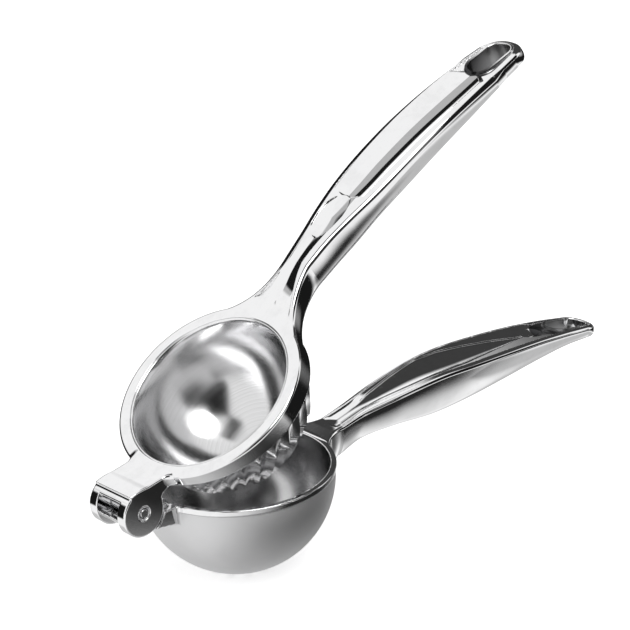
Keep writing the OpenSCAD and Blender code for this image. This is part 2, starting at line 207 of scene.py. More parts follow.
def pressCrest(x, inset, y, width, top):
    # the height of the press arm's top, by the distance in from its outline
    v = press
    slope = v["rimSlope"] * easeStep(x, *v["rimRise"])
    narrow = 1 - v["rimLoss"] * easeStep(x, *v["rimNarrow"])
    rimW = blendTo(v["rimNeck"], v["rimWide"], easeStep(x, *v["rimGrow"])) * narrow
    rim = top + slope * np.minimum(np.maximum(inset, 0), rimW)
    crest = top + slope * rimW
    # along the neck: a narrow shallow trough
    half = np.minimum(v["neckWide"], np.maximum(width - rimW, v["neckLeast"]))
    trough = crest - v["neckDeep"] * (1 - np.minimum(np.abs(y) / half, 1) ** v["neckPower"])
    trough = blendTo(np.minimum(np.full_like(x, v["ringTop"]), trough), trough, easeStep(x, *v["neckRise"]))
    # along the grip: a small step up to a ridge beside each rim, a rounded fall, then two flat
    # flanks that meet in a crease
    past = inset - rimW
    low = v["flank"] * np.maximum(0, past - v["ridgeStep"] - v["ridge"])
    fall = np.interp(past - v["ridgeStep"], *ridgeFall(v))
    flank = crest + v["ridgeHigh"] * easeStep(past, 0, v["ridgeStep"]) - fall - low
    vee = easeStep(x - v["veeBow"] * y * y, v["veeStart"] - v["veeSoft"], v["veeStart"] + v["veeSoft"])
    step = v["veeStep"] * (1 - easeStep(x, *v["veeLevel"]))
    floor = blendTo(trough, flank - step, vee)
    dimple = dimpleReach(v, x, y)
    hollow = crest - v["dimpleRim"] - v["dimpleDeep"] * (1 - np.minimum(dimple, 1) ** v["dimplePower"])
    floor = blendTo(floor, hollow, 1 - easeStep(dimple, *v["dimpleEdge"]))
    tip = easeStep(x + v["tipBow"] * y * y, v["veeEnd"], v["veeEnd"] + v["tipSoft"])
    floor = blendTo(floor, slotMoat(v, x, y, top, crest), tip)
    cut = (easeStep(inset, rimW, rimW + blendTo(v["cutNeck"], v["cutGrip"], vee))
           * easeStep(x, v["grooveStart"], v["grooveStart"] + v["grooveSoft"]))
    return blendTo(rim, floor, cut)


pressGrip["crestOf"] = pressCrest


def pinField(x, z):
    return np.hypot(x - squeezer["pinX"], z - squeezer["pinZ"])


def pressField(x, y, z):
    v, h = press, squeezer
    reachFromAxis = np.hypot(x, y)
    fromPin = pinField(x, z)
    ring = meetSoft(reachFromAxis - v["ringR"], z - v["ringTop"], v["ringEdge"])
    tilt = math.radians(v["seatTilt"])
    seat = -((x - h["pinX"]) * math.sin(tilt) + (z - h["pinZ"]) * math.cos(tilt) + h["pinZ"] - v["seatGap"])
    ring = meetSoft(ring, seat, v["seatEdge"])
    slope = math.radians(v["tongueSlope"])
    ramp = (x - h["pinX"]) * math.sin(slope) + (z - h["pinZ"]) * math.cos(slope) - h["earR"]
    wedge = np.maximum(np.maximum(ramp, v["wedgeLow"] - z), np.maximum(h["pinX"] - x, x + v["wedgeEnd"]))
    tongue = joinSoft(fromPin - h["earR"], wedge, v["wedgeFillet"])
    tongue = meetSoft(tongue, np.abs(y) - h["hingeWidth"] / 2, v["tongueEdge"])
    body = joinSoft(ring, tongue, v["tongueFillet"])
    body = np.minimum(body, gripField(pressGrip, x, y, z))
    # the knuckle's room between the ears
    swing = fromPin - h["knuckleR"] - h["swingGap"]
    swing = np.minimum(swing, x - h["pinX"] + v["swingBack"] * h["earR"])
    swing = np.minimum(swing, np.maximum(x - h["pinX"] - h["earR"] - v["swingFront"], z - v["swingTop"]))
    swing = np.maximum(swing, np.abs(y) - knuckleWidth / 2 - h["earGap"])
    body = meetSoft(body, -swing, v["swingEdge"])
    body = meetSoft(body, v["boreR"] - reachFromAxis, v["boreEdge"])
    body = meetSoft(body, h["pinR"] - fromPin, v["pinEdge"])
    return meetSoft(body, -slotDistance(v, x, y, z), v["slotEdge"])


bowlGrip = makeGrip({
    "discR": 34.4, "fillet": 15, "rootTop": 0.0, "rootKeel": -14.0, "rootSquare": 10, "keelFrom": 0.35,
    "reach": 173.4,
    "edges": [(40, 0.9), (170, 0.9)],
    "rows": [
        (0.00, 5.9, 0.1, 12.4, 2.6), (0.08, 6.2, 1.8, 11.4, 2.4), (0.20, 8.4, 3.7, 13.7, 2.2),
        (0.34, 10.3, 5.2, 17.0, 2.2), (0.46, 11.5, 4.9, 16.3, 2.2), (0.60, 11.1, 3.6, 13.7, 2.2),
        (0.74, 9.9, 1.8, 10.4, 2.2), (0.86, 8.5, -0.5, 7.2, 2.3), (0.94, 7.4, -2.4, 5.8, 2.4),
        (1.00, 7.0, -3.8, 5.0, 2.6),
    ],
})
bowl = {
    "r": 34.0, "wall": 1.8, "band": 3.2, "foot": 36.4716, "edge": 0.4, "insideEdge": 0.35,
    "bead": 0.4, "beadHeight": 2.2, "beadEdge": 0.25, "beadFillet": 0.3,
    "drainR": 1.6, "drainRing": 5.5, "drainTop": 20, "drainEdge": 0.3,
    "lugDepth": 6.6, "lugSlope": 0.147, "lugX": 33.15, "lugBack": 44, "lugEnd": 30, "lugFillet": 0.8,
    "webSlope": 0.2, "webFillet": 0.6, "pinPlay": 0.05, "pinEdge": 0.2,
    "gripFrom": 33, "gripHigh": 12, "gripFillet": 0.6,
    # the grip's two rims, from the bowl to the tip
    "rimSlope": 0.3, "rimWide": 2.2, "rimNeck": 1.2, "rimTip": 0.7,
    "rimRise": (42, 60), "rimGrow": (44, 66), "rimNarrow": (120, 160),
    "grooveStart": 40, "grooveSoft": 8, "cut": 0.3, "neckLeast": 0.6, "neckDeep": 1.3, "neckPower": 2.2,
    # the dish's half width along the grip
    "dish": [(56, 1.0), (64, 3.0), (78, 5.6), (92, 7.4), (103, 7.4), (114, 5.6), (126, 3.2),
             (136, 0.6), (140, 0.2)],
    "dishRise": (56, 68), "dishDeep": 0.2, "dishStep": 0.4, "dishSoft": 0.6,
    "shoulder": 0.16, "shoulderDrop": 0.25,
    "dimpleX": 144.0, "dimpleLong": 5.0, "dimpleWide": 4.4, "dimpleDeep": 1.3,
    "slotFar": 165.3, "slotNear": 157.0, "slotR": 4.6, "slotTilt": 10, "slotZ": -1.2, "slotEdge": 0.5,
    "slotLip": 0.8, "lipHigh": 0.1, "moatDeep": 0.7, "moatStep": 0.6, "tipBow": 0.05, "tipRise": (149, 151.5),
}


def bowlCrest(x, inset, y, width, top):
    # the height of the lower arm's top, by the distance in from its outline
    v = bowl
    slope = v["rimSlope"] * easeStep(x, *v["rimRise"])
    narrow = blendTo(1, v["rimTip"], easeStep(x, *v["rimNarrow"]))
    rimW = blendTo(v["rimNeck"], v["rimWide"], easeStep(x, *v["rimGrow"])) * narrow
    rim = top + slope * np.minimum(np.maximum(inset, 0), rimW)
    crest = top + slope * rimW
    aside = np.abs(y)
    half = np.maximum(width - rimW, v["neckLeast"])
    trough = crest - v["neckDeep"] * (1 - np.minimum(aside / half, 1) ** v["neckPower"])
    # a long lens-shaped dish between two shoulders
    dishHalf = np.interp(x, *zip(*v["dish"]))
    shoulders = crest - v["shoulderDrop"] - v["shoulder"] * np.maximum(0, half - np.maximum(aside, dishHalf))
    shoulders = shoulders - v["dishStep"] * (1 - easeStep(aside, dishHalf, dishHalf + v["dishSoft"]))
    dish = shoulders - v["dishDeep"] * dishHalf * (1 - np.minimum(aside / dishHalf, 1) ** 2)
    floor = blendTo(trough, dish, easeStep(x, *v["dishRise"]))
    floor = floor - v["dimpleDeep"] * (1 - np.minimum(dimpleReach(v, x, y), 1) ** 2)
    tip = easeStep(x + v["tipBow"] * y * y, *v["tipRise"])
    floor = blendTo(floor, slotMoat(v, x, y, top, crest), tip)
    cut = (easeStep(inset, rimW, rimW + v["cut"])
           * easeStep(x, v["grooveStart"], v["grooveStart"] + v["grooveSoft"]))
    return blendTo(rim, floor, cut)


bowlGrip["crestOf"] = bowlCrest


def bowlField(x, y, z):
    v, h = bowl, squeezer
    reachFromAxis = np.hypot(x, y)
    fromPin = pinField(x, z)
    belowBand = np.minimum(z + v["band"], 0)
    fromCentre = np.sqrt(x * x + y * y + belowBand * belowBand)
    shell = fromCentre - v["r"]
    bead = meetSoft(reachFromAxis - v["r"] - v["bead"], -(z + v["beadHeight"]), v["beadEdge"])
    shell = joinSoft(shell, bead, v["beadFillet"])
    shell = meetSoft(shell, z, v["edge"])
    shell = meetSoft(shell, -(z + v["foot"]), v["edge"])
    # the lug behind the ears, and the knuckle on its web between them
    lug = -(z + v["lugDepth"] + v["lugSlope"] * (x + v["lugX"]))
    lug = np.maximum(lug, np.maximum(h["earR"] + h["swingGap"] - fromPin, x + v["lugEnd"]))
    lug = meetSoft(np.maximum(lug, -v["lugBack"] - x), z, v["edge"])
    lug = meetSoft(lug, np.abs(y) - h["hingeWidth"] / 2, v["edge"])
    web = np.maximum(z, -(z + v["lugDepth"] + v["webSlope"] * (x + v["lugX"])))
    web = np.maximum(web, np.maximum(h["pinX"] - x, x + v["lugEnd"]))
    knuckle = joinSoft(web, fromPin - h["knuckleR"], v["webFillet"])
    knuckle = meetSoft(knuckle, np.abs(y) - knuckleWidth / 2, v["edge"])
    body = np.minimum(joinSoft(shell, lug, v["lugFillet"]), knuckle)
    body = joinSoft(body, gripField(bowlGrip, x, y, z), v["gripFillet"])
    # only the grip stands higher than the rim
    body = meetSoft(body, z - np.where(x > v["gripFrom"], v["gripHigh"], 0), v["edge"])
    body = meetSoft(body, v["r"] - v["wall"] - fromCentre, v["insideEdge"])
    body = meetSoft(body, h["pinR"] + v["pinPlay"] - fromPin, v["pinEdge"])
    for ring in (1, 2):
        for i in range(6 * ring):
            a = math.radians(60 / ring * (i + 1))
            cx, cy = ring * v["drainRing"] * math.cos(a), ring * v["drainRing"] * math.sin(a)
            drain = np.maximum(np.hypot(x - cx, y - cy) - v["drainR"], z + v["drainTop"])
            body = meetSoft(body, -drain, v["drainEdge"])
    return meetSoft(body, -slotDistance(v, x, y, z), v["slotEdge"])


def towardField(field, p, steps, reach=0.6):
    # Newton steps onto the surface, with the slope found by small shifts
    tiny = 0.01     # mm
    for _ in range(steps):
        value = field(*p.T)
        slope = np.stack([(field(*(p + d).T) - value) / tiny for d in np.eye(3) * tiny], 1)
        size = np.maximum((slope ** 2).sum(1), 0.04)
        move = -(value / size)[:, None] * slope
        length = np.linalg.norm(move, axis=1, keepdims=True)
        p = p + move * np.minimum(1, reach / np.maximum(length, 1e-9))
    return p, slope / np.maximum(np.linalg.norm(slope, axis=1, keepdims=True), 1e-9)


def softNormal(field, p, reach):
    # the slope over a short reach, so that an edge finer than the mesh still shades cleanly
    slope = np.stack([field(*(p + d).T) - field(*(p - d).T) for d in np.eye(3) * reach], 1)
    return slope / np.maximum(np.linalg.norm(slope, axis=1, keepdims=True), 1e-9)


def evenOut(p, normal, edges, share):
    # moves each point toward its neighbours' middle, along the surface only
    total = np.zeros_like(p)
    count = np.zeros(len(p))
    for a, b in ((0, 1), (1, 0)):
        np.add.at(total, edges[:, a], p[edges[:, b]])
        np.add.at(count, edges[:, a], 1)
    move = total / np.maximum(count, 1)[:, None] - p
    move -= (move * normal).sum(1, keepdims=True) * normal
    return p + share * move


def armFrame(angle):
    # from the model's place to the arm's own frame in mm, arms parallel and heights from the rim
    pin = Vector((squeezer["pinX"], 0, squeezer["pinZ"] + squeezer["rimHeight"]))
    turn = Matrix.Rotation(math.radians(angle), 4, "Y")
    return (Matrix.Translation(Vector((0, 0, -squeezer["rimHeight"]))) @ Matrix.Translation(pin) @ turn
            @ Matrix.Translation(-pin) @ Matrix.Scale(1000, 4))


def addObject(name, data):
    thing = bpy.data.objects.new(name, data)
    bpy.context.scene.collection.objects.link(thing)
    return thing


def readPoints(mesh):
    p = np.empty(len(mesh.vertices) * 3)
    mesh.vertices.foreach_get("co", p)
    return p.reshape(-1, 3)


def readEdges(mesh):
    edges = np.empty(len(mesh.edges) * 2, int)
    mesh.edges.foreach_get("vertices", edges)
    return edges.reshape(-1, 2)


def writePoints(mesh, p):
    mesh.vertices.foreach_set("co", p.ravel())
    mesh.update()


def refineTop(mesh, normal, fineFrom):
    # halves the faces of the grip's top and rims, where the small steps and hollows are
    points = readPoints(mesh)
    fine = (points[:, 0] > fineFrom) & (normal[:, 2] > -0.35)
    shape = bmesh.new()
    shape.from_mesh(mesh)
    shape.faces.ensure_lookup_table()
    chosen = {edge for face in shape.faces if all(fine[v.index] for v in face.verts) for edge in face.edges}
    bmesh.ops.subdivide_edges(shape, edges=list(chosen), cuts=1, use_grid_fill=True)
    shape.to_mesh(mesh)
    shape.free()
    mesh.update()


def makeCasting(name, node, field, angle, voxel, fineFrom):
    # the node's own mesh, evened out, then settled on the field in the arm's own frame
    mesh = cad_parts[node].data.copy()
    piece = addObject(name, mesh)
    toArm = armFrame(angle)
    mesh.transform(toArm)
    mesh.materials.clear()
    for size, rounds in ((1.5 * voxel, 2), (voxel, 5)):
        remesh = piece.modifiers.new("even", "REMESH")
        remesh.mode = "VOXEL"
        remesh.voxel_size = size
        bpy.context.view_layer.update()
        even = bpy.data.meshes.new_from_object(piece.evaluated_get(bpy.context.evaluated_depsgraph_get()))
        piece.modifiers.clear()
        before, piece.data = piece.data, even
        bpy.data.meshes.remove(before)
        edges = readEdges(even)
        p, normal = towardField(field, readPoints(even), 3)
        for _ in range(rounds):
            p = evenOut(p, normal, edges, 0.5)
            p, normal = towardField(field, p, 1)
        p, _ = towardField(field, p, 3)
        writePoints(even, p)
    refineTop(even, softNormal(field, p, 0.5 * voxel), fineFrom)
    p, _ = towardField(field, readPoints(even), 3)
    writePoints(even, p)
    even.transform(toArm.inverted())
    turnBack = np.array(toArm.inverted().to_3x3().normalized())
    normal = softNormal(field, p, 0.3 * voxel) @ turnBack.T
    even.polygons.foreach_set("use_smooth", np.ones(len(even.polygons), bool))
    even.normals_split_custom_set_from_vertices(normal.astype(np.float32).tolist())
    stageLine(f"{name}: {len(even.vertices)} points")
    return piece


cup = {
    "domeX": -0.16, "domeZ": -1.44, "r": 31.6, "innerR": 28.4, "lean": 20,
    "flutes": 30, "fluteColumns": 24, "fluteDepth": 1.7, "fluteRound": 0.5,
    # rows down the outside, angles from the mouth toward the pole
    "rows": 76, "edgeRow": 0.52, "lastRow": 88.5, "rowCrowd": 1.9,
    "crownEdge": 21, "scallop": 3.0, "crownStep": 0.7, "stepOver": 2.2, "growOver": 8,
    "fadeFrom": 80, "fadeOver": 25,
    # rows up the inside, then over the lip as radius, height and shift
    "innerRows": 58, "innerFrom": 89.2, "innerTo": 2,
    "lip": [(28.42, -1.0, -0.12), (28.5, 0.2, -0.08), (28.62, 1.4, -0.04), (28.78, 2.5, 0),
            (28.95, 3.3, 0), (29.12, 3.8, 0), (29.3, 4.06, 0), (29.5, 4.16, 0), (29.7, 4.12, 0),
            (29.84, 3.95, 0), (29.88, 3.7, 0)],
    "wallR": 29.88, "sharp": 38,
}


def turnedY(p, angle):
    c, s = math.cos(math.radians(angle)), math.sin(math.radians(angle))
    return np.stack([p[..., 0] * c + p[..., 2] * s, p[..., 1], -p[..., 0] * s + p[..., 2] * c], -1)


def closedSkin(name, loops, inward, place, sharp):
    # one closed skin over the rows of a tube, with a fan round each end
    rows, columns = loops.shape[:2]
    points = loops.reshape(-1, 3)
    points = np.concatenate([points, [points[:columns].mean(0), points[-columns:].mean(0)]])
    a = np.arange(columns)
    b = (a + 1) % columns
    quads = np.concatenate([np.stack([a, b, b + columns, a + columns], 1) + j * columns for j in range(rows - 1)])
    if inward:
        quads = quads[:, ::-1]
        a, b = b, a
    n = rows * columns
    first = np.stack([np.full(columns, n), b, a], 1)
    last = np.stack([np.full(columns, n + 1), n - columns + a, n - columns + b], 1)
    mesh = bpy.data.meshes.new(name)
    mesh.from_pydata(points.tolist(), [], quads.tolist() + first.tolist() + last.tolist())
    mesh.update()
    mesh.transform(place)
    mesh.polygons.foreach_set("use_smooth", np.ones(len(mesh.polygons), bool))
    mesh.set_sharp_from_angle(angle=math.radians(sharp))
    stageLine(f"{name}: {len(mesh.vertices)} points")
    return addObject(name, mesh)


def makeCup(name):
    v = cup
    columns = v["fluteColumns"] * v["flutes"]
    turn = np.arange(columns) * 2 * math.pi / columns
    fan = (np.arange(columns) % v["fluteColumns"]) / v["fluteColumns"]
    peak = 1 - np.abs(2 * fan - 1)      # 0 on a ridge, 1 in a valley
    valley = blendTo(peak, np.sin(peak * math.pi / 2), v["fluteRound"])
    tilt = math.radians(press["seatTilt"])
    down = np.array([math.sin(tilt), 0, math.cos(tilt)])
    centre = np.array([v["domeX"], 0, v["domeZ"]])
    pinPoint = np.array([squeezer["pinX"], 0, squeezer["pinZ"]])

    def underSeat(p):
        # how far a point stands past the ring's underside
        return (p - pinPoint) @ down + squeezer["pinZ"] - press["seatGap"]

    def domePoint(lat, r):
        q = np.stack([r * np.cos(lat) * np.cos(turn), r * np.cos(lat) * np.sin(turn), -r * np.sin(lat)], -1)
        return turnedY(q, v["lean"]) + centre

    # the angle of each column where the ring's underside cuts the dome
    start = np.zeros(columns)
    for _ in range(30):
        start = start + underSeat(domePoint(start, v["r"])) / v["r"]
    outside = []
    edge = math.radians(v["crownEdge"]) - math.radians(v["scallop"]) * valley
    for j in range(v["rows"]):
        u = j / (v["rows"] - 1)
        if u < v["edgeRow"]:
            lat = blendTo(start, edge, u / v["edgeRow"])
        else:
            w = (u - v["edgeRow"]) / (1 - v["edgeRow"])
            lat = blendTo(edge, math.radians(v["lastRow"]), w ** v["rowCrowd"])
        grow = np.clip((lat - start) / np.maximum(math.radians(v["growOver"]), edge - start), 0, 1)
        under = easeStep(lat - edge, 0, math.radians(v["stepOver"]))
        fade = easeStep(v["fadeFrom"] - np.degrees(lat), 0, v["fadeOver"])
        r = v["r"] - v["fluteDepth"] * grow * valley * fade - v["crownStep"] * under
        outside.append(domePoint(lat, r))
    bearing = np.arctan2(outside[0][:, 1], outside[0][:, 0])

    def lathePoint(r, z, shift=0.0):
        return np.stack([r * np.cos(bearing) + shift, r * np.sin(bearing), np.full(columns, z)], -1)

    inside = []
    for lat in np.radians(np.linspace(v["innerFrom"], v["innerTo"], v["innerRows"])):
        r, drop = v["innerR"] * math.cos(lat), v["innerR"] * math.sin(lat)
        inside.append(lathePoint(r, v["domeZ"] - drop, v["domeX"]))
    inside += [lathePoint(*row) for row in v["lip"]]
    wall = lathePoint(v["wallR"], 0.0)
    wall[:, 2] -= underSeat(wall) / down[2]
    inside += [blendTo(inside[-1], wall, 0.5), wall]
    piece = closedSkin(name, np.array(inside + outside), True, Matrix.Scale(0.001, 4), v["sharp"])
    # the object's own Z is the cup's axis, which the spun finish runs round
    piece.matrix_world = armFrame(squeezer["openAngle"]).inverted() @ Matrix.Scale(1000, 4)
    return piece


pin = {
    "half": 9.2, "columns": 96, "poleR": 0.02, "sharp": 35,
    # each end from its middle to the side, with the stamped ring: radius and depth behind the end
    "end": [(0.0, 0.03), (1.255, 0.03), (1.375, 0.12), (1.435, 0.3), (1.94, 0.3), (2.0, 0.12), (2.08, 0.02),
            (2.25, 0.02), (2.43, 0.1), (2.5, 0.25)],
}


def makePin(name):
    v = pin
    side = [(r, v["half"] - deep) for r, deep in v["end"]]
    profile = [(max(r, v["poleR"]), y) for r, y in side + [(r, -y) for r, y in reversed(side)]]
    a = np.arange(v["columns"]) * 2 * math.pi / v["columns"]
    loops = np.array([np.stack([r * np.cos(a), np.full(len(a), y), r * np.sin(a)], -1) for r, y in profile])
    loops = loops + [squeezer["pinX"], 0, squeezer["pinZ"]]
    return closedSkin(name, loops, False, armFrame(squeezer["openAngle"]).inverted(), v["sharp"])


coarse = 1.0
# the last two: the size of the even mesh in mm, and where the grip's fine top begins
pressPiece = makeCasting("pressArm", "press_arm", pressField, squeezer["openAngle"], 0.36 * coarse, 33)
bowlPiece = makeCasting("bowlArm", "bowl_arm", bowlField, 0.0, 0.42 * coarse, 38)
cupPiece = makeCup("pressCup")
pinPiece = makePin("hingePin")


def addNode(tree, kind, **settings):
    node = tree.nodes.new(kind)
    for key, value in settings.items():
        setattr(node, key, value)
    return node


def feed(tree, socket, value):
    # links another socket in, or sets a plain value
    if isinstance(value, bpy.types.NodeSocket):
        tree.links.new(value, socket)
    else:
        socket.default_value = value


def mathNode(tree, operation, *values, clamp=False):
    node = addNode(tree, "ShaderNodeMath", operation=operation, use_clamp=clamp)
    for socket, value in zip(node.inputs, values):
        feed(tree, socket, value)
    return node.outputs[0]


def times(tree, a, b):
    return mathNode(tree, "MULTIPLY", a, b)


def plus(tree, a, b):
    return mathNode(tree, "ADD", a, b)


def vectorNode(tree, operation, a, b=(0.0, 0.0, 0.0)):
    node = addNode(tree, "ShaderNodeVectorMath", operation=operation)
    for socket, value in zip(node.inputs, (a, b)):
        feed(tree, socket, value)
    return node.outputs["Value" if operation in ("LENGTH", "DOT_PRODUCT") else "Vector"]


def rayKinds(tree, *outputs):
    path = addNode(tree, "ShaderNodeLightPath")
    socket = path.outputs[outputs[0]]
    for other in outputs[1:]:
        socket = mathNode(tree, "MAXIMUM", socket, path.outputs[other])
    return socket


def newMaterial(name):
    material = bpy.data.materials.new(name)
    material.use_nodes = True
    return material, material.node_tree, material.node_tree.nodes["Principled BSDF"]


def newGroup(name, inputs, outputs):
    group = bpy.data.node_groups.new(name, "ShaderNodeTree")
    for direction, sockets in (("INPUT", inputs), ("OUTPUT", outputs)):
        for socket, kind in sockets.items():
            group.interface.new_socket(socket, in_out=direction, socket_type="NodeSocket" + kind)
    return group, addNode(group, "NodeGroupInput").outputs, addNode(group, "NodeGroupOutput").inputs


def placeGroup(tree, group, **values):
    # puts a group in a material with its own values
    node = addNode(tree, "ShaderNodeGroup", node_tree=group)
    for name, value in values.items():
        feed(tree, node.inputs[name], value)
    return node.outputs


def noiseNode(tree, place, scale, detail=2.0, roughness=0.5):
    node = addNode(tree, "ShaderNodeTexNoise")
    tree.links.new(place, node.inputs["Vector"])
    node.inputs["Scale"].default_value = scale
    node.inputs["Detail"].default_value = detail
    node.inputs["Roughness"].default_value = roughness
    return node.outputs[0]


def rampNode(tree, value, low, high):
    # 0 at low, 1 at high, eased between them
    node = addNode(tree, "ShaderNodeMapRange", interpolation_type="SMOOTHSTEP")
    for name, number in (("Value", value), ("From Min", low), ("From Max", high)):
        feed(tree, node.inputs[name], number)
    return node.outputs[0]


def mixTone(tree, share, a, b):
    # a colour between two metals' colours
    node = addNode(tree, "ShaderNodeMix", data_type="RGBA")
    tree.links.new(share, node.inputs[0])
    for socket, value in ((node.inputs[6], a), (node.inputs[7], b)):
        feed(tree, socket, (*value, 1) if isinstance(value, tuple) else value)
    return node.outputs[2]


wear = {
    "waveScale": 70, "hazeScale": 160, "hazeBetween": (0.42, 0.72), "lineRough": 0.06, "lineDeep": 0.04,
    "along": (260.0, 3800.0, 3800.0), "alongBetween": (0.66, 0.74),
    "across": (4200.0, 300.0, 2600.0), "acrossBetween": (0.70, 0.78),
}


def makeWearGroup():
    # polishing waves, fine scratches and handling haze; Place is in metres
    v = wear
    group, given, result = newGroup(
        "polishWear",
        {"Place": "Vector", "Rough": "Float", "Haze": "Float", "Waves": "Float", "Scratches": "Float"},
        {"Roughness": "Float", "Height": "Float", "Grime": "Float"})
    place = given["Place"]
    cloud = rampNode(group, noiseNode(group, place, v["hazeScale"], 4.0, 0.6), *v["hazeBetween"])
    scratched = []
    for stretch, between in ((v["along"], v["alongBetween"]), (v["across"], v["acrossBetween"])):
        stretched = vectorNode(group, "MULTIPLY", place, stretch)
        scratched.append(rampNode(group, noiseNode(group, stretched, 1.0, 1.0), *between))
    lines = times(group, mathNode(group, "MAXIMUM", *scratched), given["Scratches"])
    rough = plus(group, given["Rough"], times(group, cloud, given["Haze"]))
    group.links.new(plus(group, rough, times(group, lines, v["lineRough"])), result["Roughness"])
    height = times(group, noiseNode(group, place, v["waveScale"], 1.0), given["Waves"])
    height = mathNode(group, "SUBTRACT", height, times(group, lines, v["lineDeep"]))
    group.links.new(height, result["Height"])
    group.links.new(cloud, result["Grime"])
    return group


def zOf(tree, vector):
    split = addNode(tree, "ShaderNodeSeparateXYZ")
    tree.links.new(vector, split.inputs[0])
    return split.outputs["Z"]


def bumpInto(tree, shader, height, distance):
    bump = addNode(tree, "ShaderNodeBump")
    bump.inputs["Strength"].default_value = 1.0
    bump.inputs["Distance"].default_value = distance
    tree.links.new(height, bump.inputs["Height"])
    tree.links.new(bump.outputs[0], shader.inputs["Normal"])


def metalMaterial(name, finish):
    # the polished base that every piece starts from
    material, tree, shader = newMaterial(name)
    shader.inputs["Metallic"].default_value = 1
    place = addNode(tree, "ShaderNodeTexCoord").outputs["Object"]
    worn = placeGroup(tree, wearGroup, Place=place, Rough=finish["rough"], Haze=finish["haze"],
                      Waves=finish["waves"], Scratches=finish["scratches"])
    tone = mixTone(tree, worn["Grime"], finish["colour"], finish["dull"])
    return material, tree, shader, place, worn, tone


wearGroup = makeWearGroup()

castFinish = {
    "colour": (0.88, 0.88, 0.885), "dull": (0.83, 0.83, 0.835), "rough": 0.035, "haze": 0.03, "waves": 1.0,
    "scratches": 1.0, "bumpReach": 0.00003,
    # the bowl's satin skin: where it starts and ends from the sphere's centre, and under the bead
    "skinInner": (0.0331, 0.0335), "skinOuter": (0.0352, 0.0343), "skinUnder": (0.0002, -0.0004),
    "satinColour": (0.76, 0.76, 0.765), "satinDull": (0.71, 0.71, 0.715), "satinRough": 0.54, "satinSpread": 0.1,
    "grainScale": 2600, "blotchScale": 45, "blotchBetween": (0.35, 0.7), "frost": 0.25,
    # the bowl's brushed inside, with a darker tone as painted shade
    "insideShadeTone": (0.66, 0.66, 0.665), "insideRough": 0.15, "insideFrom": (0.0330, 0.0326),
    "insideUnder": (-0.0001, -0.0007),
    # the press arm's slot and its moat: a painted shade, darker toward the hinge, on a duller wall
    "slotShadeDeep": (0.05, 0.05, 0.052), "slotShadeFaint": (0.34, 0.34, 0.343), "slotRough": 0.3,
    "slotHalf": (0.0106, 0.0066), "slotSquare": 2.5, "slotEdge": (1.0, 0.9), "slotUnder": (-0.0001, -0.0007),
    "slotShade": (-0.8, 0.9),
}


def makeSlotMask(tree, place, v):
    # inside the press arm's slot and in the moat round its lip, where the shade is painted, with the place along
    # the slot
    fromArm = armFrame(squeezer["openAngle"]).inverted()
    turnBack = fromArm.to_3x3().normalized()
    tilt = math.radians(press["slotTilt"])
    middle = fromArm @ Vector(((press["slotFar"] + press["slotNear"]) / 2, 0, press["slotZ"]))
    fromSlot = vectorNode(tree, "SUBTRACT", place, tuple(middle))
    halfLong, halfWide = v["slotHalf"]
    axes = (turnBack @ Vector((math.cos(tilt), 0, -math.sin(tilt))) / halfLong, Vector((0, 1 / halfWide, 0)),
            turnBack @ Vector((math.sin(tilt), 0, math.cos(tilt))))
    along, aside, height = (vectorNode(tree, "DOT_PRODUCT", fromSlot, tuple(axis)) for axis in axes)
    reach = plus(tree, *(mathNode(tree, "POWER", mathNode(tree, "ABSOLUTE", way), v["slotSquare"])
                         for way in (along, aside)))
    return times(tree, rampNode(tree, reach, *v["slotEdge"]), rampNode(tree, height, *v["slotUnder"])), along


def makeCastMetal():
    # mirror-polished chrome: satin outside the bowl, brushed inside it with a painted shade, and a painted shade
    # in the press arm's slot
    v = castFinish
    material, tree, shader, place, worn, tone = metalMaterial("castMetal", v)
    rim = squeezer["rimHeight"] / 1000
    bead = (squeezer["rimHeight"] - bowl["beadHeight"]) / 1000
    centre = (0.0, 0.0, (squeezer["rimHeight"] - bowl["band"]) / 1000)
    flattened = vectorNode(tree, "MINIMUM", vectorNode(tree, "SUBTRACT", place, centre), (1.0, 1.0, 0.0))
    away = vectorNode(tree, "LENGTH", flattened)
    height = zOf(tree, place)
    skin = times(tree, rampNode(tree, away, *v["skinInner"]), rampNode(tree, away, *v["skinOuter"]))
    satin = times(tree, skin, rampNode(tree, height, *(bead + up for up in v["skinUnder"])))
    inBowl = times(tree, rampNode(tree, away, *v["insideFrom"]),
                   rampNode(tree, height, *(rim + up for up in v["insideUnder"])))
    slotShadeAndDull, along = makeSlotMask(tree, place, v)
    grain = noiseNode(tree, place, v["grainScale"], 2.0, 0.7)
    blotch = rampNode(tree, noiseNode(tree, place, v["blotchScale"], 3.0), *v["blotchBetween"])

    # painted shade: the inside of the bowl takes a darker tone
    tone = mixTone(tree, inBowl, tone, v["insideShadeTone"])
    tone = mixTone(tree, satin, tone, mixTone(tree, blotch, v["satinColour"], v["satinDull"]))
    # painted shade in the slot and its moat, darkest toward the hinge
    slotPaintedShade = mixTone(tree, rampNode(tree, along, *v["slotShade"]), v["slotShadeDeep"], v["slotShadeFaint"])
    tree.links.new(mixTone(tree, slotShadeAndDull, tone, slotPaintedShade), shader.inputs["Base Color"])
    satinRough = plus(tree, times(tree, grain, v["satinSpread"]), v["satinRough"] - v["satinSpread"] / 2)
    rough = plus(tree, worn["Roughness"],
                 times(tree, satin, mathNode(tree, "SUBTRACT", satinRough, worn["Roughness"])))
    dulled = plus(tree, times(tree, slotShadeAndDull, v["slotRough"]), times(tree, inBowl, v["insideRough"]))
    tree.links.new(plus(tree, rough, dulled), shader.inputs["Roughness"])
    frost = times(tree, times(tree, grain, satin), v["frost"])
    bumpInto(tree, shader, plus(tree, worn["Height"], frost), v["bumpReach"])
    return material


